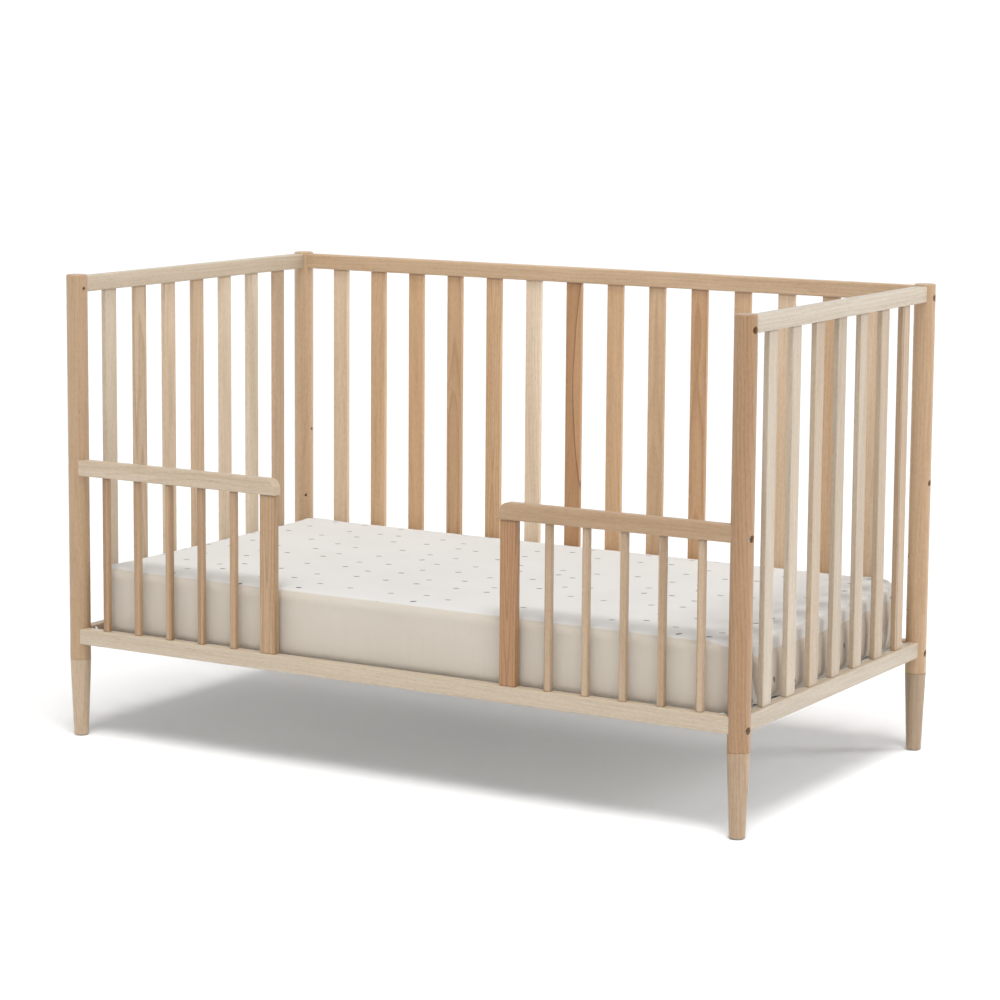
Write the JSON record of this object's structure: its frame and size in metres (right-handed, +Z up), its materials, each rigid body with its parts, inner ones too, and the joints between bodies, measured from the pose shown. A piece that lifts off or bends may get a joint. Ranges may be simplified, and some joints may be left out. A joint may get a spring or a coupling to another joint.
{
  "type": "baby crib",
  "caption": "Slatted beech crib set up as a toddler bed: open front with half guards beside the way in, sprung steel mattress support and a lift-out mattress in a fitted sheet.",
  "frame": {"origin": "on the floor under the middle of the crib, with the crib standing on its four glides", "axes": "+X along the crib's length to the right as seen from the front, +Z up, and the open front faces -Y"},
  "size_m": [1.38, 0.758, 0.848],
  "materials": {
    "beech": "satin clear lacquer",
    "dowel_wood": "plain",
    "mattress_cover": "cotton fitted sheet with a small scattered print",
    "white_steel": "satin powder coat",
    "bolt_steel": "zinc plated",
    "spring_steel": "drawn wire",
    "glide_plastic": "matte nylon"
  },
  "bodies": {
    "crib": {"back_rail_bottom": "beech", "back_rail_top": "beech", "back_slat_01": "beech", "back_slat_02": "beech", "back_slat_03": "beech", "back_slat_04": "beech", "back_slat_05": "beech", "back_slat_06": "beech", "back_slat_07": "beech", "back_slat_08": "beech", "back_slat_09": "beech", "back_slat_10": "beech", "back_slat_11": "beech", "back_slat_12": "beech", "back_slat_13": "beech", "back_slat_14": "beech", "end_rail_left_bottom": "beech", "end_rail_left_top": "beech", "end_rail_right_bottom": "beech", "end_rail_right_top": "beech", "end_slat_left_1": "beech", "end_slat_left_2": "beech", "end_slat_left_3": "beech", "end_slat_left_4": "beech", "end_slat_left_5": "beech", "end_slat_left_6": "beech", "end_slat_left_7": "beech", "end_slat_right_1": "beech", "end_slat_right_2": "beech", "end_slat_right_3": "beech", "end_slat_right_4": "beech", "end_slat_right_5": "beech", "end_slat_right_6": "beech", "end_slat_right_7": "beech", "foot_front_left": "beech", "foot_front_right": "beech", "foot_glides": "glide_plastic", "foot_rear_left": "beech", "foot_rear_right": "beech", "foot_studs": "bolt_steel", "front_rail_bottom": "beech", "guard_board_left": "beech", "guard_board_right": "beech", "guard_rail_left": "beech", "guard_rail_right": "beech", "guard_spindles_left": "beech", "guard_spindles_right": "beech", "hanger_bolts": "bolt_steel", "post_front_left": "beech", "post_front_right": "beech", "post_rear_left": "beech", "post_rear_right": "beech", "rail_bolts": "bolt_steel", "rail_dowels": "dowel_wood", "rail_inserts": "bolt_steel", "support_frame": "white_steel", "support_hangers": "white_steel", "support_springs": "spring_steel", "support_wires": "spring_steel"},
    "mattress": {"mattress": "mattress_cover"}
  },
  "joints": [
    {"name": "mattress_lift", "type": "slide", "parent": "crib", "child": "mattress", "axis": [0, 0, 1], "range_m": [0, 0.7]}
  ]
}
